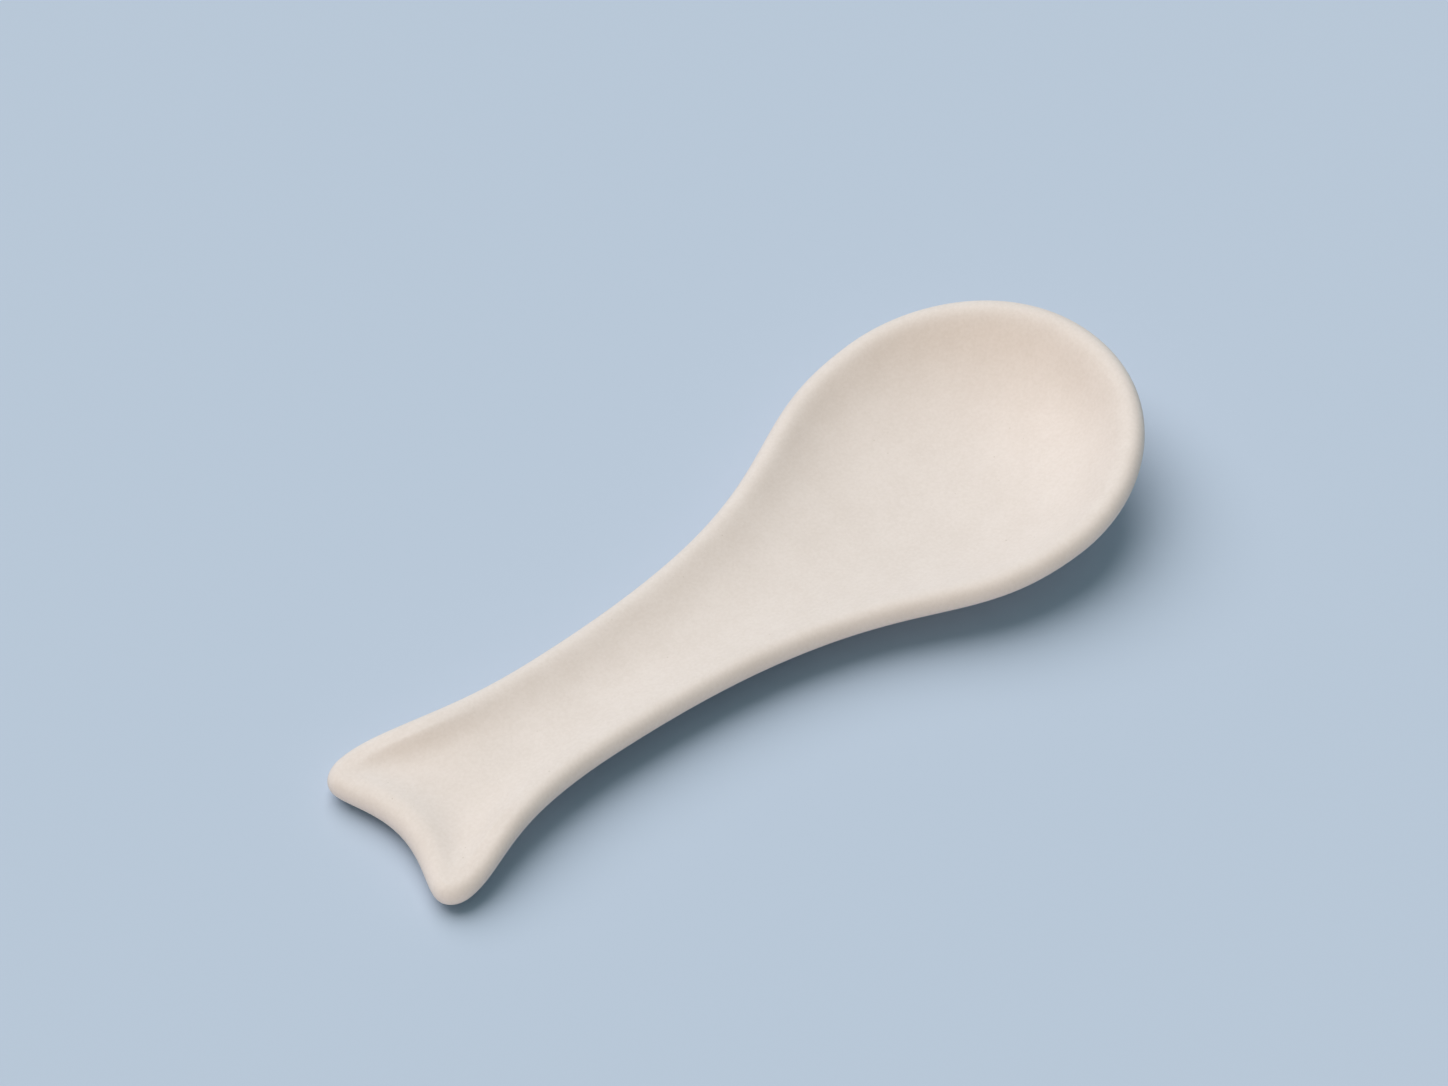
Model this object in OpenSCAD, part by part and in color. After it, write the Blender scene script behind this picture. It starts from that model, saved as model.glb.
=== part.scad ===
// Spoon rest: a spoon-shaped ceramic dish with a round bowl, a channelled handle and a fishtail end.
// It lies along X with the bowl towards +X, and stands on z = 0. Lengths are in millimetres.

/* [Outline] */
// Overall length, from the tail tips to the bowl's end
total_l = 240; // [210:1:280]
// Width of the bowl at its widest place
bowl_w = 93.2; // [75:0.2:110]
// Distance of the bowl's widest place from its end
belly_from_end = 48; // [42:0.5:56]
// Width of the handle at its waist
waist_w = 36; // [30:0.2:42]
// Distance of the waist from the tail's end
waist_from_tail = 61; // [52:0.5:72]
// Width across the tail's two flukes
tail_w = 54.2; // [46:0.2:62]
// Distance of the flukes' widest place from the tail's end
fluke_from_tail = 7.2; // [6:0.1:9]
// Distance between the ends of the two tail tips
tip_span = 42.8; // [38:0.2:45]
// Depth of the notch between the tail tips
notch_d = 4.8; // [2:0.1:6]

/* [Curve pulls] */
// How long the notch runs straight across its middle
notch_pull = 0.47; // [0.3:0.01:0.6]
// How long the tips run straight towards the notch
tip_pull = 0.19; // [0.1:0.01:0.4]
// Roundness of the two tail tips
fluke_pull = 0.58; // [0.45:0.01:0.7]
// How long the flukes run straight towards the waist
flare_pull = 0.21; // [0.1:0.01:0.35]
// How long the waist runs straight towards the tail
waist_tail_pull = 0.64; // [0.4:0.01:0.7]
// How long the waist runs straight towards the bowl
waist_bowl_pull = 0.71; // [0.5:0.01:0.75]
// How long the bowl's sides run straight towards the waist
belly_neck_pull = 0.335; // [0.25:0.005:0.45]
// Fullness of the bowl's sides towards its end
belly_end_pull = 0.51; // [0.45:0.01:0.65]
// Fullness of the bowl's end
nose_pull = 0.6; // [0.45:0.01:0.65]

/* [Rim] */
// Radius of the rolled rim
rim_r = 3.4; // [3:0.1:4.4]
// Radius of the rim's top where it rounds over into the dish
shoulder_r = 4.5; // [3:0.1:6]
// Height of the rim's top along the handle
handle_h = 13.9; // [12:0.1:18]
// Height of the rim's underside above the table at the tail tips
tip_lift = 1.2; // [0.7:0.1:3]
// Height of the rim's top at the bowl's end
nose_h = 27.1; // [20:0.1:34]
// Distance from the tail's end at which the tail starts to bend down to the table
bend_from_tail = 50; // [35:0.5:60]
// How late the bend comes
bend_power = 2.7; // [1.5:0.1:3.5]
// Distance from the bowl's end at which the rim starts to rise to it
lift_from_end = 126; // [100:1:150]
// How late the rise comes
lift_power = 2; // [1.5:0.1:3]

/* [Dish] */
// Height of the bowl's floor
bowl_floor_h = 7.5; // [6:0.1:10]
// Depth of the trough along the handle, below the rim's top
trough_d = 3.4; // [2.5:0.1:5]
// Depth of the trough at the tail, below the rim's top
tail_d = 4.1; // [3:0.1:5]
// Distance of the trough's end from the tail's end
trough_from_tail = 20; // [17:0.5:25]
// Length of floor on which the tail's sections meet
tail_fan_l = 7; // [5:0.5:12]
// Distance of the bowl's middle from its end
centre_from_end = 42; // [36:0.5:48]
// Length of floor on which the sections of the bowl's end meet
bowl_fan_l = 12; // [6:0.5:20]
// Distance from the waist at which the floor starts to fall to the bowl
fall_from_waist = 28; // [10:1:50]
// Share of the bowl's sections taken by its level floor
bowl_level = 0.85; // [0.5:0.01:0.88]
// Share of the handle's sections taken by its level floor
handle_level = 0.55; // [0.3:0.01:0.65]
// Share of the tail's sections taken by its level floor
tail_level = 0.72; // [0.5:0.01:0.78]
// Width of the level strip inside the tail's side rims
side_flat = 1.8; // [0.5:0.1:2.5]
// How slowly the tail's floor falls from its sides
side_wall = 2.1; // [1.8:0.1:3.5]
// Width of the level strip inside the notch's rim
notch_flat = 1; // [0.3:0.1:2]
// How slowly the tail's floor falls from the notch
notch_wall = 3.6; // [2.5:0.1:5]
// Distance from the tail's end at which its walls start to run into the handle's
blend_from_tail = 22; // [18:0.5:28]
// Length over which they do
blend_l = 24; // [16:0.5:30]

/* [Walls and foot] */
// Thickness of the handle under its trough
handle_t = 5; // [4:0.1:6.5]
// Depth ground off the underside of the bowl to make it stand flat
bowl_grind = 1.6; // [1:0.1:2.5]
// Depth ground off the underside of the tail
tail_grind = 1; // [0.6:0.1:1.5]
// Steepness with which the underside leaves the rim
under_lean = 1.4; // [1:0.05:1.6]
// Share of the underside's sections that runs level
under_level = 0.66; // [0.4:0.01:0.75]

/* [Glaze] */
// Thickness of the glaze
glaze_t = 0.4; // [0.2:0.05:0.6]
// Height above the table at which the glaze is wiped off
wipe_h = 0.5; // [0.3:0.05:0.6]

/* [Hidden] */

// Points along each stretch of half the outline: notch, tip, flare, neck, bowl's end
run_cols = [5, 5, 12, 12, 11];
// Points across the foot, the glazed underside, the rim and the dish
foot_rows = 3;
under_rows = 5;
rim_rows = 7;
dish_rows = 7;

// Places along the length
tail_end = -total_l / 2;
bowl_end = total_l / 2;
bend_x = tail_end + bend_from_tail;
lift_x = bowl_end - lift_from_end;
tip_h = tip_lift + 2 * rim_r;

// Corners of half the outline, where it runs along X or along Y
notch = [tail_end + notch_d, 0];
tip = [tail_end, tip_span / 2];
fluke = [tail_end + fluke_from_tail, tail_w / 2];
waist = [tail_end + waist_from_tail, waist_w / 2];
belly = [bowl_end - belly_from_end, bowl_w / 2];
nose = [bowl_end, 0];

// Half the outline as five curves, each with its two ends and two pulls
fluke_out = fluke.y - tip.y;
flare_l = waist.x - fluke.x;
neck_l = belly.x - waist.x;
runs = [
    [notch, notch + [0, tip.y * notch_pull], tip - [0, tip.y * tip_pull], tip],
    [tip, tip + [0, fluke_out * fluke_pull], fluke - [fluke_from_tail * fluke_pull, 0], fluke],
    [fluke, fluke + [flare_l * flare_pull, 0], waist - [flare_l * waist_tail_pull, 0], waist],
    [waist, waist + [neck_l * waist_bowl_pull, 0], belly - [neck_l * belly_neck_pull, 0], belly],
    [belly, belly + [belly_from_end * belly_end_pull, 0], nose + [0, belly.y * nose_pull], nose],
];

// Where the sections of those five curves meet the floor's middle line
trough_x = tail_end + trough_from_tail;
flare_x = trough_x + tail_fan_l;
centre_x = bowl_end - centre_from_end;
bowl_x = centre_x - bowl_fan_l;
meets = [trough_x, (trough_x + flare_x) / 2, flare_x, waist.x, bowl_x, centre_x];
// The neck's sections lean towards the bowl
notch_run = 0;
flare_run = 2;
neck_run = 3;
neck_lean = 0.35;

// Heights of the floor and of the underside along the middle line
fall_x = waist.x + fall_from_waist;
handle_floor_h = handle_h - trough_d;
arch_h = handle_floor_h - handle_t;

// Most of a section that its shoulder may take, and the least that a slanted section counts as square
shoulder_most = 0.45;
square_least = 0.5;
// Share of an underside section that follows the roll's tangent
under_pull = 0.25;
// Reach for measuring a slope, step along a section, and halvings and samples for finding a height
reach = 0.5;
step = 0.01;
halvings = 24;
samples = 20;
line_n = 60;

function curve(p, t) =
    let (s = 1 - t) p[0] * s * s * s + p[1] * 3 * s * s * t + p[2] * 3 * s * t * t + p[3] * t * t * t;
function heading(p, t) =
    let (s = 1 - t) (p[1] - p[0]) * s * s + (p[2] - p[1]) * 2 * s * t + (p[3] - p[2]) * t * t;
function unit(v) = v / norm(v);
function clamp(v) = min(1, max(0, v));
function ease(v) = let (c = clamp(v)) c * c * (3 - 2 * c);
function mix(a, b, share) = a + (b - a) * share;

// Height of the rim's middle before the tail is bent, and how far the bend lowers a place
function rim_z(x) =
    let (lift = max(0, (x - lift_x) / (bowl_end - rim_r - lift_x)))
    handle_h - rim_r + (nose_h - handle_h) * pow(lift, lift_power);
function bend(x) = (handle_h - tip_h) * pow(ease((bend_x - x) / bend_from_tail), bend_power);

// A value that is one thing at the tail, another along the handle and a third in the bowl
function along(x, at_tail, at_handle, at_bowl) =
    let (to_tail = ease((waist.x - x) / (waist.x - trough_x)))
    let (to_bowl = ease((x - fall_x) / (bowl_x - fall_x)))
    at_handle + (at_tail - at_handle) * to_tail + (at_bowl - at_handle) * to_bowl;
function floor_z(x) = along(x, handle_h - tail_d, handle_floor_h, bowl_floor_h) - bend(x);
function under_z(x) = along(x, -tail_grind, arch_h, -bowl_grind);
function under_slope(x) = (under_z(x + reach) - under_z(x - reach)) / (2 * reach);
function bend_slope(x) = (bend(x + reach) - bend(x - reach)) / (2 * reach);

// The rim's middle line along one curve of the outline, and tables of it along the flare and the notch
function rim_mid(run, t) =
    let (dir = unit(heading(runs[run], t))) curve(runs[run], t) - [-dir.y, dir.x] * rim_r;
flare_line = [for (i = [0:line_n]) let (p = rim_mid(flare_run, i / line_n)) [p.x, p.y]];
notch_line = [for (i = [0:line_n]) let (p = rim_mid(notch_run, i / line_n)) [p.y, p.x]];

// How far a wall has fallen at a distance from the rim's middle line
function wall_share(distance, flat, wall) =
    let (far = max(0, distance - flat) / wall) 1 - (1 + far) * exp(-far);

// How far the floor has fallen, by place: the tail's floor falls from both sides and from the notch
function tail_sunk(x, y) =
    let (half = lookup(x, flare_line), notch_gap = x - lookup(y, notch_line))
    wall_share(half - y, side_flat, side_wall) * wall_share(half + y, side_flat, side_wall)
    * wall_share(notch_gap, notch_flat, notch_wall);
function tail_share(x) = ease((tail_end + blend_from_tail + blend_l - x) / blend_l);
function dish_z(x, y, top, sunk) = mix(top, floor_z(x), mix(sunk, tail_sunk(x, y), tail_share(x)));
function middle_z(x) = dish_z(x, 0, handle_h - bend(x), 1);
function middle_slope(x) = (middle_z(x + reach) - middle_z(x - reach)) / (2 * reach);

// One section across the dish: [0] rim's middle, [1] its height, [2] outward direction in plan,
// [3] the dish's curve in plan, [4] the underside's curve, [5] the roll's lowest angle,
// [6] how much of the underside is glazed, [7] the meeting place on the middle line
function section(run, t) =
    let (p = runs[run], at = curve(p, t), dir = unit(heading(p, t)))
    let (out = [-dir.y, dir.x], mid = at - out * rim_r, z = rim_z(mid.x))
    let (f = (at.x - p[0].x) / (p[3].x - p[0].x))
    let (lean = run == neck_run ? neck_lean : 0)
    let (meet_x = mix(meets[run], meets[run + 1], f + lean * f * (1 - f)))
    let (dish = dish_curve(mid, z, out, meet_x))
    let (drop = z - rim_r - bend(mid.x) - under_z(meet_x))
    let (fall = atan(under_lean * drop / norm([meet_x, 0] - mid)))
    let (under = under_curve(mid, z, out, meet_x, fall))
    [mid, z, out, dish, under, fall - 90, glazed_share(under), meet_x];

// The dish leaves the rim's top level, rounded to the shoulder's radius, and ends level across
function dish_curve(mid, z, out, meet_x) =
    let (way = [meet_x, 0] - mid, l = norm(way), d = way / l)
    let (depth = z + rim_r - bend(meet_x) - floor_z(meet_x))
    let (shoulder_pull = sqrt(2 / 3 * depth * shoulder_r) / max(square_least, -d * out))
    let (pull = min(shoulder_most * l, shoulder_pull))
    let (level = l * along(meet_x, tail_level, handle_level, bowl_level))
    [mid, mid + d * pull, mid + d * (l - level), mid + way];

// The underside leaves the roll along its tangent and ends level across
function under_curve(mid, z, out, meet_x, fall) =
    let (start = mid + out * rim_r * sin(fall), start_z = z - rim_r * cos(fall) - bend(start.x))
    let (way = [meet_x, 0] - start, l = norm(way), d = way / l)
    let (pull = under_pull * l, level = l * under_level, end_z = under_z(meet_x))
    let (lean = tan(fall) * max(0, -d * out) + bend_slope(start.x) * d.x)
    let (p1 = start + d * pull, p2 = start + d * (l - level))
    [[start.x, start.y, start_z], [p1.x, p1.y, start_z - pull * lean],
     [p2.x, p2.y, end_z - under_slope(meet_x) * d.x * level], [meet_x, 0, end_z]];

// Share of an underside curve that comes before the wiping height, found by halving
function glazed_share(p) =
    let (heights = [for (i = [0:samples]) curve(p, i / samples).z])
    let (lowest = search(min(heights), heights)[0] / samples)
    min(heights) >= wipe_h ? 1 : halve(p, 0, lowest, halvings);
function halve(p, low, high, steps) =
    let (m = (low + high) / 2)
    steps == 0 ? m
    : curve(p, m).z > wipe_h ? halve(p, m, high, steps - 1)
    : halve(p, low, m, steps - 1);

// All sections: one half from notch to nose, then the other half mirrored
half_sections = [
    for (run = [0:len(run_cols) - 1])
        for (i = [0:run_cols[run] - 1]) section(run, i / run_cols[run]),
    section(len(runs) - 1, 1)
];
half_n = len(half_sections) - 1;
cols = 2 * half_n;

// Points of the finished surface, by column and by place across the section
function flip(p, side) = [p.x, p.y * side, p.z];
function half_col(c) = let (m = (c + cols) % cols) m <= half_n ? m : cols - m;
function side(c) = (c + cols) % cols <= half_n ? 1 : -1;
function sect(c) = half_sections[half_col(c)];
function dish_at(c, t) =
    let (s = sect(c), p = curve(s[3], t), top = s[1] + rim_r - bend(p.x))
    flip([p.x, p.y, dish_z(p.x, p.y, top, ease(t))], side(c));
function under_at(c, t) = flip(curve(sect(c)[4], t), side(c));
function roll_at(c, angle) =
    let (s = sect(c), p = s[0] + s[2] * rim_r * cos(angle))
    flip([p.x, p.y, s[1] + rim_r * sin(angle) - bend(p.x)], side(c));

// Outward directions of that surface
function dish_out(c, t) =
    t == 1 ? unit([-middle_slope(sect(c)[7]), 0, 1])
    : unit(cross(dish_at(c, t + step) - dish_at(c, t), dish_at(c + 1, t) - dish_at(c - 1, t)));
function under_out(c, t) =
    t == 1 ? unit([under_slope(sect(c)[7]), 0, -1])
    : unit(cross(under_at(c + 1, t) - under_at(c - 1, t), under_at(c, t + step) - under_at(c, t)));
function roll_out(c, angle) =
    let (around = roll_at(c, angle + 1) - roll_at(c, angle - 1))
    unit(cross(around, roll_at(c + 1, angle) - roll_at(c - 1, angle)));

// A column of points across the section, from the underside round the rim to the dish, set in by a depth
function foot_points(c, depth) =
    let (share = sect(c)[6])
    [for (i = [0:foot_rows - 1])
        let (t = share == 1 ? 1 : 1 - (1 - share) * i / foot_rows)
        under_at(c, t) - under_out(c, t) * depth];
function coat_points(c, depth) =
    let (share = sect(c)[6], low = sect(c)[5])
    [for (i = [0:under_rows - 1])
        let (t = share * (1 - i / under_rows))
        under_at(c, t) - under_out(c, t) * depth,
     for (i = [0:rim_rows])
        let (angle = low + (90 - low) * i / rim_rows)
        roll_at(c, angle) - roll_out(c, angle) * depth,
     for (i = [1:dish_rows])
        let (t = i / dish_rows)
        dish_at(c, t) - dish_out(c, t) * depth];

// Triangles between neighbouring columns, rows counted from a first point
function skin(rows, first) = [
    for (c = [0:cols - 1]) for (r = [0:rows - 2])
        let (a = first + c * rows + r, b = first + (c + 1) % cols * rows + r)
        each [[a, b, b + 1], [a, b + 1, a + 1]]
];
function whole(face, points) =
    let (a = points[face[0]], b = points[face[1]], c = points[face[2]])
    a != b && b != c && c != a;
function turned(faces) = [for (f = faces) [f[2], f[1], f[0]]];

// The fired clay, ground flat where it stands
module clay_body() {
    points = [for (c = [0:cols - 1]) each concat(foot_points(c, glaze_t), coat_points(c, glaze_t))];
    rows = len(points) / cols;
    faces = [for (f = skin(rows, 0)) if (whole(f, points)) f];
    grind_h = 2 * (bowl_grind + tail_grind);
    color("burlywood")
        difference() {
            polyhedron(points, faces, convexity = 6);
            translate([-total_l, -bowl_w, -grind_h])
                cube([2 * total_l, 2 * bowl_w, grind_h]);
        }
}

// The glaze skin on the clay, open where the foot is wiped
module glaze_coat() {
    outer = [for (c = [0:cols - 1]) each coat_points(c, 0)];
    inner = [for (c = [0:cols - 1]) each coat_points(c, glaze_t)];
    points = concat(outer, inner);
    count = len(outer);
    rows = count / cols;
    lip = [
        for (c = [0:cols - 1])
            let (a = c * rows, b = (c + 1) % cols * rows)
            if (min(sect(c)[6], sect(c + 1)[6]) < 1)
                each [[a, a + count, b + count], [a, b + count, b]]
    ];
    color("linen")
        polyhedron(points, concat(skin(rows, 0), turned(skin(rows, count)), lip), convexity = 8);
}

clay_body();
glaze_coat();
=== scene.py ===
import math

import bmesh
import bpy
import numpy
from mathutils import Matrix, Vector


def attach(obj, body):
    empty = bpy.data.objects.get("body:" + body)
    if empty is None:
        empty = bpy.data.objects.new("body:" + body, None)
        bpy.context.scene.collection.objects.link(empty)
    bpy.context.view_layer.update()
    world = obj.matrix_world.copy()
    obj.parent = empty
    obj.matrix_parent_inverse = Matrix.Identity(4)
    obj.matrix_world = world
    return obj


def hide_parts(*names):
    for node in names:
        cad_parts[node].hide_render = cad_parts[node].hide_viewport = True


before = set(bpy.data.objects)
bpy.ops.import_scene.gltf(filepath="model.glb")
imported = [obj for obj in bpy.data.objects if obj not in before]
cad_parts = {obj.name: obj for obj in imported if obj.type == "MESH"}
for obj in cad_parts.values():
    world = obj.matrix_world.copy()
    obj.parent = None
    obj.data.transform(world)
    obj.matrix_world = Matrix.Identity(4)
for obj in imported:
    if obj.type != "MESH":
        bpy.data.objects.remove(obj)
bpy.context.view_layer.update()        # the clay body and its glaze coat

print("frame loaded:", sorted(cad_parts))

# the dish: a round bowl, a channelled handle and a fishtail end; metres, bowl towards +X
form = {
    "length": 0.240,
    "bowlWidth": 0.0932,
    "bellyFromEnd": 0.048,       # widest place of the bowl
    "waistWidth": 0.036,
    "waistFromTail": 0.061,
    "tailWidth": 0.0542,         # across the two flukes
    "flukeFromTail": 0.0072,
    "tipSpan": 0.0428,           # between the ends of the two tips
    "notchDepth": 0.0048,
    "notchPulls": (0.47, 0.19),  # how far each curve runs straight from its two ends
    "tipPulls": (0.58, 0.58),
    "flarePulls": (0.21, 0.64),
    "neckPulls": (0.71, 0.335),
    "endPulls": (0.51, 0.6),
    "rimRadius": 0.0034,
    "shoulderRadius": 0.0045,    # of the rim's top, towards the dish
    "shoulderMost": 0.45,        # longest share of a section that the shoulder takes
    "squareLeast": 0.5,          # how squarely a section meets the rim, at the least
    "handleHeight": 0.0139,      # rim tops above the table
    "endHeight": 0.0271,
    "tipLift": 0.0012,           # rim's underside at the tail tips, above the table
    "bendFromTail": 0.050,       # where the tail starts to bend down to the table, and how late it does
    "bendPower": 2.7,
    "liftFromEnd": 0.126,        # where it starts to rise to the bowl's end
    "liftPower": 2,
    "bowlFloor": 0.0075,
    "troughDepth": 0.0034,
    "tailDepth": 0.0041,         # of the trough, where the tail's floor is deepest
    "sideFlat": 0.0018,          # level strip inside the rim, and how slowly the tail's floor falls from it
    "sideWall": 0.0021,
    "notchFlat": 0.001,
    "notchWall": 0.0036,
    "blendFromTail": 0.022,      # where the tail's walls start to run into the handle's
    "blendLength": 0.024,
    "troughFromTail": 0.020,
    "tailFan": 0.007,            # stretch of floor on which the tail's sections meet
    "centreFromEnd": 0.042,
    "bowlFan": 0.012,
    "fallFromWaist": 0.028,      # where the floor starts to fall to the bowl
    "neckLean": 0.35,            # how far the neck's sections lean towards the bowl
    "bowlLevel": 0.85,           # share of a section that is level floor
    "handleLevel": 0.55,
    "tailLevel": 0.72,
    "handleThickness": 0.005,
    "bowlGrind": 0.0016,         # depth ground off the underside
    "tailGrind": 0.001,
    "underLean": 1.4,            # steepness with which the underside leaves the rim
    "underPull": 0.25,           # share of a section on which it keeps that steepness
    "underLevel": 0.66,          # share of a section on which it runs level
    "columns": (14, 14, 20, 36, 32),   # points along notch, tip, flare, neck and end of one side
    "footRows": 16,
    "rollRows": 20,
    "dishRows": 30,
    "mergeDistance": 0.000002,
}


def bezier(ends, t):
    s = 1 - t
    return ends[0] * s ** 3 + ends[1] * (3 * s * s * t) + ends[2] * (3 * s * t * t) + ends[3] * t ** 3


def heading(ends, t):
    s = 1 - t
    first, middle, last = ends[1] - ends[0], ends[2] - ends[1], ends[3] - ends[2]
    return (first * s * s + middle * (2 * s * t) + last * t * t).normalized()


def ease(value):
    c = min(1, max(0, value))
    return c * c * (3 - 2 * c)


tailX, endX = -form["length"] / 2, form["length"] / 2
rimRadius = form["rimRadius"]
notch = Vector((tailX + form["notchDepth"], 0))
tip = Vector((tailX, form["tipSpan"] / 2))
fluke = Vector((tailX + form["flukeFromTail"], form["tailWidth"] / 2))
waist = Vector((tailX + form["waistFromTail"], form["waistWidth"] / 2))
belly = Vector((endX - form["bellyFromEnd"], form["bowlWidth"] / 2))
nose = Vector((endX, 0))
troughX = tailX + form["troughFromTail"]
fallX = waist.x + form["fallFromWaist"]
centreX = endX - form["centreFromEnd"]
bowlX = centreX - form["bowlFan"]
meetPlaces = (troughX, troughX + form["tailFan"] / 2, troughX + form["tailFan"], waist.x, bowlX, centreX)


def outlineRun(start, stop, pulls, alongX):
    # a curve that leaves and ends along X or along Y
    step = stop - start
    leave, arrive = alongX
    first = Vector((step.x * pulls[0], 0)) if leave else Vector((0, step.y * pulls[0]))
    last = Vector((step.x * pulls[1], 0)) if arrive else Vector((0, step.y * pulls[1]))
    return start, start + first, stop - last, stop


notchRun, tipRun, flareRun, neckRun, endRun = range(5)
outlineRuns = (
    outlineRun(notch, tip, form["notchPulls"], (False, False)),
    outlineRun(tip, fluke, form["tipPulls"], (False, True)),
    outlineRun(fluke, waist, form["flarePulls"], (True, True)),
    outlineRun(waist, belly, form["neckPulls"], (True, True)),
    outlineRun(belly, nose, form["endPulls"], (True, False)),
)


def alongLength(x, tailValue, handleValue, bowlValue):
    toTail = ease((waist.x - x) / (waist.x - troughX))
    toBowl = ease((x - fallX) / (bowlX - fallX))
    return handleValue + (tailValue - handleValue) * toTail + (bowlValue - handleValue) * toBowl


def rimMiddle(x):
    lift = max(0, (x - endX + form["liftFromEnd"]) / (form["liftFromEnd"] - rimRadius))
    rise = form["endHeight"] - form["handleHeight"]
    return form["handleHeight"] - rimRadius + rise * lift ** form["liftPower"]


def bend(x):
    # how far the tail end is bent down
    depth = form["handleHeight"] - form["tipLift"] - 2 * rimRadius
    return depth * ease((tailX + form["bendFromTail"] - x) / form["bendFromTail"]) ** form["bendPower"]


def floorHeight(x):
    tailFloor = form["handleHeight"] - form["tailDepth"]
    handleFloor = form["handleHeight"] - form["troughDepth"]
    return alongLength(x, tailFloor, handleFloor, form["bowlFloor"]) - bend(x)


def underHeight(x):
    arch = form["handleHeight"] - form["troughDepth"] - form["handleThickness"]
    return alongLength(x, -form["tailGrind"], arch, -form["bowlGrind"])


def slope(height, x, reach=0.0005):
    return (height(x + reach) - height(x - reach)) / (2 * reach)


def raised(place, height):
    return place.to_3d() + Vector((0, 0, height))


def dishCurve(mid, top, out, meetX):
    way = Vector((meetX, 0)) - mid
    span = way.length
    way.normalize()
    depth = top - bend(meetX) - floorHeight(meetX)    # the rim above the floor
    # a curve that starts level turns down with the shoulder's radius at this pull
    pull = math.sqrt(2 / 3 * depth * form["shoulderRadius"]) / max(form["squareLeast"], -way.dot(out))
    pull = min(form["shoulderMost"] * span, pull)
    level = alongLength(meetX, form["tailLevel"], form["handleLevel"], form["bowlLevel"])
    return mid, mid + way * pull, mid + way * span * (1 - level), mid + way * span


def underCurve(mid, z, out, meetX, fall):
    start = mid + out * rimRadius * math.sin(fall)
    startHeight = z - rimRadius * math.cos(fall) - bend(start.x)
    way = Vector((meetX, 0)) - start
    span = way.length
    way.normalize()
    pull, level, end = form["underPull"] * span, span * form["underLevel"], underHeight(meetX)
    first, last = start + way * pull, start + way * (span - level)
    lean = math.tan(fall) * max(0, -way.dot(out)) + slope(bend, start.x) * way.x
    firstHeight = startHeight - pull * lean
    lastHeight = end - slope(underHeight, meetX) * way.x * level
    return (raised(start, startHeight), raised(first, firstHeight), raised(last, lastHeight),
            Vector((meetX, 0, end)))


def section(run, t):
    # one cut through the dish, from its rim to the middle line
    ends = outlineRuns[run]
    at, way = bezier(ends, t), heading(ends, t)
    out = Vector((-way.y, way.x))
    mid = at - out * rimRadius
    z = rimMiddle(mid.x)
    share = (at.x - ends[0].x) / (ends[3].x - ends[0].x)
    lean = form["neckLean"] * share * (1 - share) if run == neckRun else 0
    meetX = meetPlaces[run] + (meetPlaces[run + 1] - meetPlaces[run]) * (share + lean)
    reach = (Vector((meetX, 0)) - mid).length
    fall = math.atan(form["underLean"] * (z - rimRadius - bend(mid.x) - underHeight(meetX)) / reach)
    return {"mid": mid, "z": z, "out": out, "low": fall - math.pi / 2,
            "dish": dishCurve(mid, z + rimRadius, out, meetX),
            "under": underCurve(mid, z, out, meetX, fall)}


halfSections = [section(run, i / count) for run, count in enumerate(form["columns"]) for i in range(count)]
halfSections.append(section(endRun, 1))


def rollPoint(cut, share):
    angle = cut["low"] + (math.pi / 2 - cut["low"]) * share
    place = cut["mid"] + cut["out"] * rimRadius * math.cos(angle)
    return Vector((place.x, place.y, cut["z"] + rimRadius * math.sin(angle) - bend(place.x)))


def rimLine(run, count=80):
    # the rim's middle line along one curve of the outline
    ends, line = outlineRuns[run], []
    for i in range(count + 1):
        way = heading(ends, i / count)
        line.append(bezier(ends, i / count) - Vector((-way.y, way.x)) * rimRadius)
    return [point.x for point in line], [point.y for point in line]


notchX, notchY = rimLine(notchRun)
flareX, flareY = rimLine(flareRun)


def wallShare(distance, flat, wall):
    # how far a wall has fallen at a distance from the rim's middle line
    far = max(0, distance - flat) / wall
    return 1 - (1 + far) * math.exp(-far)


def tailSunk(x, y):
    # the tail's floor falls from both sides and from the notch
    half = numpy.interp(x, flareX, flareY)
    near = wallShare(half - y, form["sideFlat"], form["sideWall"])
    far = wallShare(half + y, form["sideFlat"], form["sideWall"])
    notchSide = x - numpy.interp(y, notchY, notchX)
    return near * far * wallShare(notchSide, form["notchFlat"], form["notchWall"])


def dishPoint(cut, share):
    # sinks from the rim's height to the floor's
    place = bezier(cut["dish"], share)
    rim = cut["z"] + rimRadius - bend(place.x)
    tailShare = ease((tailX + form["blendFromTail"] + form["blendLength"] - place.x) / form["blendLength"])
    sunk = ease(share)
    sunk += (tailSunk(place.x, place.y) - sunk) * tailShare
    return Vector((place.x, place.y, rim + (floorHeight(place.x) - rim) * sunk))


def ringOf(place):
    # one closed ring of points: this side, then the other side mirrored
    half = [place(cut) for cut in halfSections]
    return half + [Vector((p.x, -p.y, p.z)) for p in half[-2:0:-1]]


def dishRings():
    footRows, rollRows, dishRows = form["footRows"], form["rollRows"], form["dishRows"]
    rings = [ringOf(lambda cut: bezier(cut["under"], 1 - i / footRows)) for i in range(footRows)]
    rings += [ringOf(lambda cut: rollPoint(cut, i / rollRows)) for i in range(rollRows)]
    rings += [ringOf(lambda cut: dishPoint(cut, i / dishRows)) for i in range(dishRows + 1)]
    return rings


def placeRing(piece, ring):
    mesh = bmesh.from_edit_mesh(piece.data)
    column = mesh.verts.layers.int["column"]
    for vert in mesh.verts:
        if vert.select:
            vert.co = ring[vert[column]]
    bmesh.update_edit_mesh(piece.data)


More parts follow.
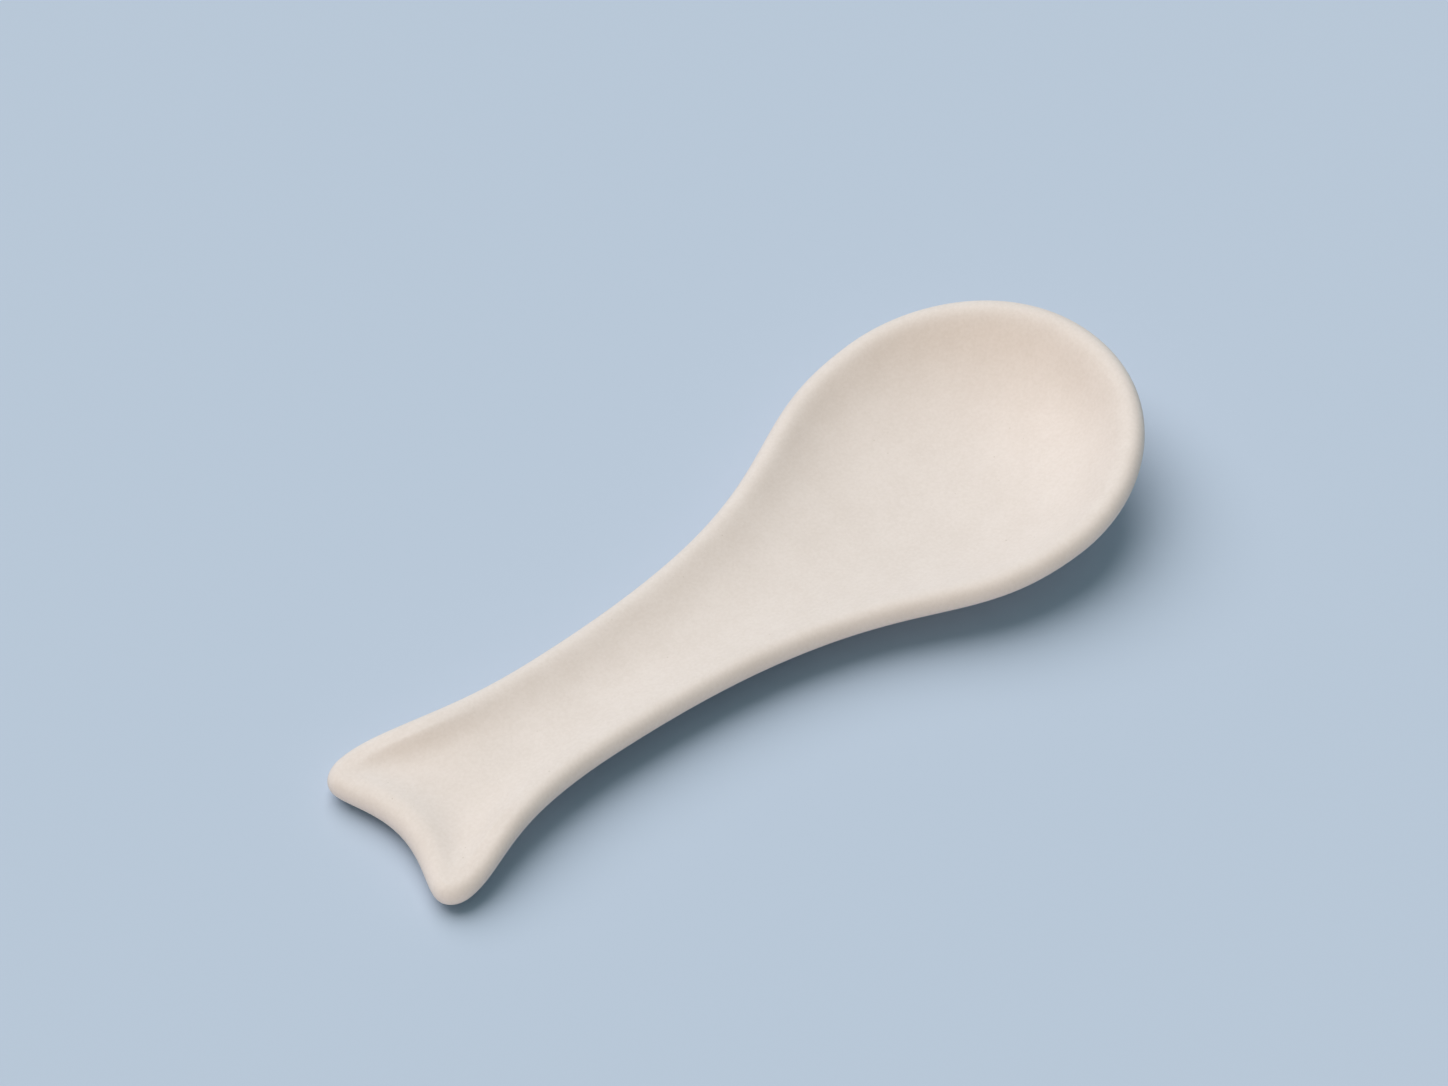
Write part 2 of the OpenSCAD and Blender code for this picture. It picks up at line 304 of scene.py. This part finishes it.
def extrudeDish(name):
    # a ring on the foot's middle line, extruded ring by ring round the rim to the floor's middle line
    rings = dishRings()
    bpy.ops.object.select_all(action="DESELECT")
    bpy.ops.mesh.primitive_circle_add(vertices=len(rings[0]), radius=form["bowlWidth"] / 2)
    piece = bpy.context.object
    piece.name = piece.data.name = name
    numbers = piece.data.attributes.new("column", "INT", "POINT")
    numbers.data.foreach_set("value", range(len(rings[0])))
    bpy.ops.object.mode_set(mode="EDIT")
    bpy.ops.mesh.select_all(action="SELECT")
    placeRing(piece, rings[0])
    for ring in rings[1:]:
        bpy.ops.mesh.extrude_edges_move(TRANSFORM_OT_translate={"value": (0, 0, 0)})
        placeRing(piece, ring)
    bpy.ops.mesh.select_all(action="SELECT")
    bpy.ops.mesh.remove_doubles(threshold=form["mergeDistance"])
    bpy.ops.mesh.normals_make_consistent(inside=False)
    bpy.ops.object.mode_set(mode="OBJECT")
    bpy.ops.object.shade_smooth()
    return piece


def selectOnly(piece):
    bpy.ops.object.select_all(action="DESELECT")
    piece.select_set(True)
    bpy.context.view_layer.objects.active = piece


def copyOf(piece, name):
    selectOnly(piece)
    bpy.ops.object.duplicate()
    twin = bpy.context.object
    twin.name = twin.data.name = name
    return twin


def addNode(nodes, kind, x, y, **values):
    node = nodes.new(kind)
    node.location = (x, y)
    for name, value in values.items():
        setattr(node, name, value)
    return node


# fine grain, soft clouds and scattered specks, for the glaze and the bare clay
grainPattern = {
    "colours": ("Pale", "Deep", "Speck Colour"),
    "amounts": ("Cloud Scale", "Cloud Amount", "Grain Scale", "Grain Amount",
                "Speck Scale", "Speck Size", "Speck Share", "Speck Strength"),
    "masks": ("Grain", "Cloud"),
    "cloudDetail": 4,
    "cloudRoughness": 0.6,
    "grainDetail": 3,
    "middle": 0.5,               # tone halfway between pale and deep
}
grainGroup = bpy.data.node_groups.new("firedGrain", "ShaderNodeTree")


def addSockets(names, side, kind):
    for name in names:
        grainGroup.interface.new_socket(name, in_out=side, socket_type=kind)


def fillGrainGroup():
    addSockets(grainPattern["colours"], "INPUT", "NodeSocketColor")
    addSockets(grainPattern["amounts"], "INPUT", "NodeSocketFloat")
    addSockets(("Colour",), "OUTPUT", "NodeSocketColor")
    addSockets(grainPattern["masks"], "OUTPUT", "NodeSocketFloat")
    nodes, link = grainGroup.nodes, grainGroup.links.new
    given = addNode(nodes, "NodeGroupInput", -1200, 0)
    result = addNode(nodes, "NodeGroupOutput", 900, 0)
    place = addNode(nodes, "ShaderNodeTexCoord", -1200, 300)

    cloud = addNode(nodes, "ShaderNodeTexNoise", -900, 400)
    cloud.inputs["Detail"].default_value = grainPattern["cloudDetail"]
    cloud.inputs["Roughness"].default_value = grainPattern["cloudRoughness"]
    link(place.outputs["Object"], cloud.inputs["Vector"])
    link(given.outputs["Cloud Scale"], cloud.inputs["Scale"])

    grain = addNode(nodes, "ShaderNodeTexNoise", -900, 150)
    grain.inputs["Detail"].default_value = grainPattern["grainDetail"]
    link(place.outputs["Object"], grain.inputs["Vector"])
    link(given.outputs["Grain Scale"], grain.inputs["Scale"])

    # clouds with the grain on top decide between the pale and the deep tone
    mixed = None
    for texture, amount, y in ((cloud, "Cloud Amount", 400), (grain, "Grain Amount", 150)):
        centred = addNode(nodes, "ShaderNodeMath", -650, y, operation="SUBTRACT")
        centred.inputs[1].default_value = grainPattern["middle"]
        link(texture.outputs["Fac"], centred.inputs[0])
        scaled = addNode(nodes, "ShaderNodeMath", -450, y, operation="MULTIPLY_ADD")
        link(centred.outputs[0], scaled.inputs[0])
        link(given.outputs[amount], scaled.inputs[1])
        scaled.inputs[2].default_value = grainPattern["middle"]
        if mixed:
            link(mixed.outputs[0], scaled.inputs[2])
        mixed = scaled
    mixed.use_clamp = True
    tone = addNode(nodes, "ShaderNodeMix", -200, 250, data_type="RGBA")
    link(mixed.outputs[0], tone.inputs["Factor"])
    link(given.outputs["Pale"], tone.inputs["A"])
    link(given.outputs["Deep"], tone.inputs["B"])

    # specks: a dot in some cells, of its own size
    cells = addNode(nodes, "ShaderNodeTexVoronoi", -900, -150)
    link(place.outputs["Object"], cells.inputs["Vector"])
    link(given.outputs["Speck Scale"], cells.inputs["Scale"])
    chance = addNode(nodes, "ShaderNodeSeparateColor", -650, -250)
    link(cells.outputs["Color"], chance.inputs["Color"])
    chosen = addNode(nodes, "ShaderNodeMath", -450, -250, operation="LESS_THAN")
    link(chance.outputs["Red"], chosen.inputs[0])
    link(given.outputs["Speck Share"], chosen.inputs[1])
    size = addNode(nodes, "ShaderNodeMath", -450, -420, operation="MULTIPLY")
    link(chance.outputs["Green"], size.inputs[0])
    link(given.outputs["Speck Size"], size.inputs[1])
    dot = addNode(nodes, "ShaderNodeMapRange", -200, -150, interpolation_type="SMOOTHSTEP")
    dot.inputs["To Min"].default_value = 1
    dot.inputs["To Max"].default_value = 0
    link(cells.outputs["Distance"], dot.inputs["Value"])
    link(size.outputs[0], dot.inputs["From Max"])
    speck = addNode(nodes, "ShaderNodeMath", 50, -200, operation="MULTIPLY")
    link(dot.outputs["Result"], speck.inputs[0])
    link(chosen.outputs[0], speck.inputs[1])
    strength = addNode(nodes, "ShaderNodeMath", 250, -200, operation="MULTIPLY")
    link(speck.outputs[0], strength.inputs[0])
    link(given.outputs["Speck Strength"], strength.inputs[1])
    spotted = addNode(nodes, "ShaderNodeMix", 500, 150, data_type="RGBA")
    link(strength.outputs[0], spotted.inputs["Factor"])
    link(tone.outputs["Result"], spotted.inputs["A"])
    link(given.outputs["Speck Colour"], spotted.inputs["B"])

    link(spotted.outputs["Result"], result.inputs["Colour"])
    link(grain.outputs["Fac"], result.inputs["Grain"])
    link(cloud.outputs["Fac"], result.inputs["Cloud"])


fillGrainGroup()
print("grain group made")


def firedMaterial(name, look):
    material = bpy.data.materials.new(name)
    material.use_nodes = True
    nodes, link = material.node_tree.nodes, material.node_tree.links.new
    shader = nodes["Principled BSDF"]
    grain = addNode(nodes, "ShaderNodeGroup", -700, 200, node_tree=grainGroup)
    for socketName, value in look["grain"].items():
        grain.inputs[socketName].default_value = value
    link(grain.outputs["Colour"], shader.inputs["Base Color"])
    shade = addNode(nodes, "ShaderNodeMapRange", -300, 0)
    shade.inputs["To Min"].default_value, shade.inputs["To Max"].default_value = look["roughness"]
    link(grain.outputs["Grain"], shade.inputs["Value"])
    link(shade.outputs["Result"], shader.inputs["Roughness"])
    coarse = addNode(nodes, "ShaderNodeBump", -500, -300)
    coarse.inputs["Strength"].default_value = 1
    coarse.inputs["Distance"].default_value = look["waveDepth"]
    link(grain.outputs["Cloud"], coarse.inputs["Height"])
    fine = addNode(nodes, "ShaderNodeBump", -250, -300)
    fine.inputs["Strength"].default_value = 1
    fine.inputs["Distance"].default_value = look["grainDepth"]
    link(grain.outputs["Grain"], fine.inputs["Height"])
    link(coarse.outputs["Normal"], fine.inputs["Normal"])
    link(fine.outputs["Normal"], shader.inputs["Normal"])
    shader.inputs["Specular IOR Level"].default_value = look["specular"]
    return material


# the fired clay, seen only on the ground foot and its wiped margin
clayLook = {
    "grain": {"Pale": (0.56, 0.42, 0.29, 1), "Deep": (0.43, 0.31, 0.21, 1),
              "Speck Colour": (0.16, 0.10, 0.06, 1),
              "Cloud Scale": 90, "Cloud Amount": 1.5,
              "Grain Scale": 1400, "Grain Amount": 2.5,
              "Speck Scale": 500, "Speck Size": 0.35, "Speck Share": 0.25, "Speck Strength": 0.7},
    "roughness": (0.85, 0.95),
    "waveDepth": 0.0001,
    "grainDepth": 0.00006,
    "specular": 0.25,
}
# the matt glaze
glazeLook = {
    "thickness": 0.0004,
    "wipeHeight": 0.0005,        # the glaze is wiped off below this
    "edgeAngle": 45,             # degrees past which an edge shades sharp
    "grain": {"Pale": (0.815, 0.713, 0.669, 1), "Deep": (0.768, 0.665, 0.616, 1),
              "Speck Colour": (0.42, 0.33, 0.25, 1),
              "Cloud Scale": 90, "Cloud Amount": 1.8,
              "Grain Scale": 1100, "Grain Amount": 2.2,
              "Speck Scale": 420, "Speck Size": 0.16, "Speck Share": 0.16, "Speck Strength": 0.45},
    "roughness": (0.58, 0.72),
    "waveDepth": 0.00008,
    "grainDepth": 0.000012,
    "specular": 0.35,
}


def cutBelow(piece, height, close):
    selectOnly(piece)
    bpy.ops.object.mode_set(mode="EDIT")
    bpy.ops.mesh.select_all(action="SELECT")
    bpy.ops.mesh.bisect(plane_co=(0, 0, height), plane_no=(0, 0, 1), clear_inner=True, use_fill=close,
                        threshold=form["mergeDistance"] / 2)
    bpy.ops.object.mode_set(mode="OBJECT")


def makeGlazeCoat(surface):
    coat = copyOf(surface, "glazeCoatSkin")
    cutBelow(coat, glazeLook["wipeHeight"], False)
    wall = coat.modifiers.new("thickness", "SOLIDIFY")
    wall.thickness = glazeLook["thickness"]
    wall.offset = -1
    bpy.ops.object.modifier_apply(modifier=wall.name)
    bpy.ops.object.mode_set(mode="EDIT")
    bpy.ops.mesh.select_mode(type="EDGE")
    bpy.ops.mesh.select_all(action="DESELECT")
    bpy.ops.mesh.edges_select_sharp(sharpness=math.radians(glazeLook["edgeAngle"]))
    bpy.ops.mesh.mark_sharp()    # the wiped edge
    bpy.ops.object.mode_set(mode="OBJECT")
    coat.data.materials.append(firedMaterial("mattGlaze", glazeLook))
    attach(coat, "root")
    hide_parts("glaze_coat")
    return coat


def makeClayBody(surface):
    body = copyOf(surface, "clayBodyCasting")
    bpy.ops.object.mode_set(mode="EDIT")
    bpy.ops.mesh.select_all(action="SELECT")
    bpy.ops.transform.shrink_fatten(value=-glazeLook["thickness"])
    bpy.ops.object.mode_set(mode="OBJECT")
    cutBelow(body, 0, True)
    body.data.materials.append(firedMaterial("bareClay", clayLook))
    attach(body, "root")
    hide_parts("clay_body")
    return body


dishSurface = extrudeDish("dishSurface")
print("surface of the dish:", len(dishSurface.data.polygons), "faces")
glazeCoat = makeGlazeCoat(dishSurface)
clayBody = makeClayBody(dishSurface)
bpy.data.objects.remove(dishSurface)
for piece in (glazeCoat, clayBody):
    sides = [round(side, 4) for side in piece.dimensions]
    print(piece.name, len(piece.data.polygons), "faces, size", sides)

# the floor, the light and the camera
studio = {
    "floorSize": 8,
    "floorColour": (0.624, 0.681, 0.803, 1),
    "floorRoughness": 0.9,
    "floorSpecular": 0.1,
    "worldColour": (0.61, 0.96, 1, 1),
    "worldStrength": 0.21,
    "keyStrength": 2.4,          # big soft lamp behind the dish
    "keyAngle": 66,
    "keyElevation": 57,
    "keyAround": 85,             # degrees from +X towards +Y
    "fillStrength": 1.25,        # low soft lamp in front, on the dish alone
    "fillAngle": 60,
    "fillElevation": 25,
    "fillAround": -140,
    "fillColour": (1, 0.82, 0.66),
}
lens = {
    "focal": 120,
    "sensor": 36,
    "azimuth": -39.663,          # degrees from -Y towards +X
    "elevation": 49.039,
    "distance": 1.27076,
    "target": (0.010932, 0.025002, 0),
}


def makeFloor():
    bpy.ops.object.select_all(action="DESELECT")
    bpy.ops.mesh.primitive_plane_add(size=studio["floorSize"])
    floor = bpy.context.object
    floor.name = floor.data.name = "studioFloor"
    material = bpy.data.materials.new("paleFloor")
    material.use_nodes = True
    shader = material.node_tree.nodes["Principled BSDF"]
    shader.inputs["Base Color"].default_value = studio["floorColour"]
    shader.inputs["Roughness"].default_value = studio["floorRoughness"]
    shader.inputs["Specular IOR Level"].default_value = studio["floorSpecular"]
    floor.data.materials.append(material)


def lookAt(thing, place, target):
    thing.location = place
    thing.rotation_euler = (Vector(target) - place).to_track_quat("-Z", "Y").to_euler()


def softLamp(name, side):
    lamp = bpy.data.objects.new(name, bpy.data.lights.new(name, "SUN"))
    bpy.context.scene.collection.objects.link(lamp)
    lamp.data.energy = studio[side + "Strength"]
    lamp.data.angle = math.radians(studio[side + "Angle"])
    up, around = math.radians(studio[side + "Elevation"]), math.radians(studio[side + "Around"])
    way = Vector((math.cos(around) * math.cos(up), math.sin(around) * math.cos(up), math.sin(up)))
    lookAt(lamp, way, (0, 0, 0))
    return lamp


def makeLights():
    world = bpy.data.worlds.new("softDome")
    bpy.context.scene.world = world
    world.use_nodes = True
    background = world.node_tree.nodes["Background"]
    background.inputs["Color"].default_value = studio["worldColour"]
    background.inputs["Strength"].default_value = studio["worldStrength"]
    softLamp("keyLight", "key")
    fill = softLamp("fillLight", "fill")
    lit = bpy.data.collections.new("fillLit")
    for piece in (glazeCoat, clayBody):
        lit.objects.link(piece)
    fill.light_linking.receiver_collection = lit
    fill.light_linking.blocker_collection = lit
    fill.data.color = studio["fillColour"]


def makeCamera():
    camera = bpy.data.objects.new("camera", bpy.data.cameras.new("camera"))
    bpy.context.scene.collection.objects.link(camera)
    camera.data.lens = lens["focal"]
    camera.data.sensor_width = lens["sensor"]
    up, around = math.radians(lens["elevation"]), math.radians(lens["azimuth"])
    way = Vector((math.sin(around) * math.cos(up), -math.cos(around) * math.cos(up), math.sin(up)))
    lookAt(camera, Vector(lens["target"]) + way * lens["distance"], lens["target"])
    bpy.context.scene.camera = camera


makeFloor()
makeLights()
makeCamera()
bpy.context.scene.view_settings.view_transform = "Standard"
print("floor, light and camera in place")
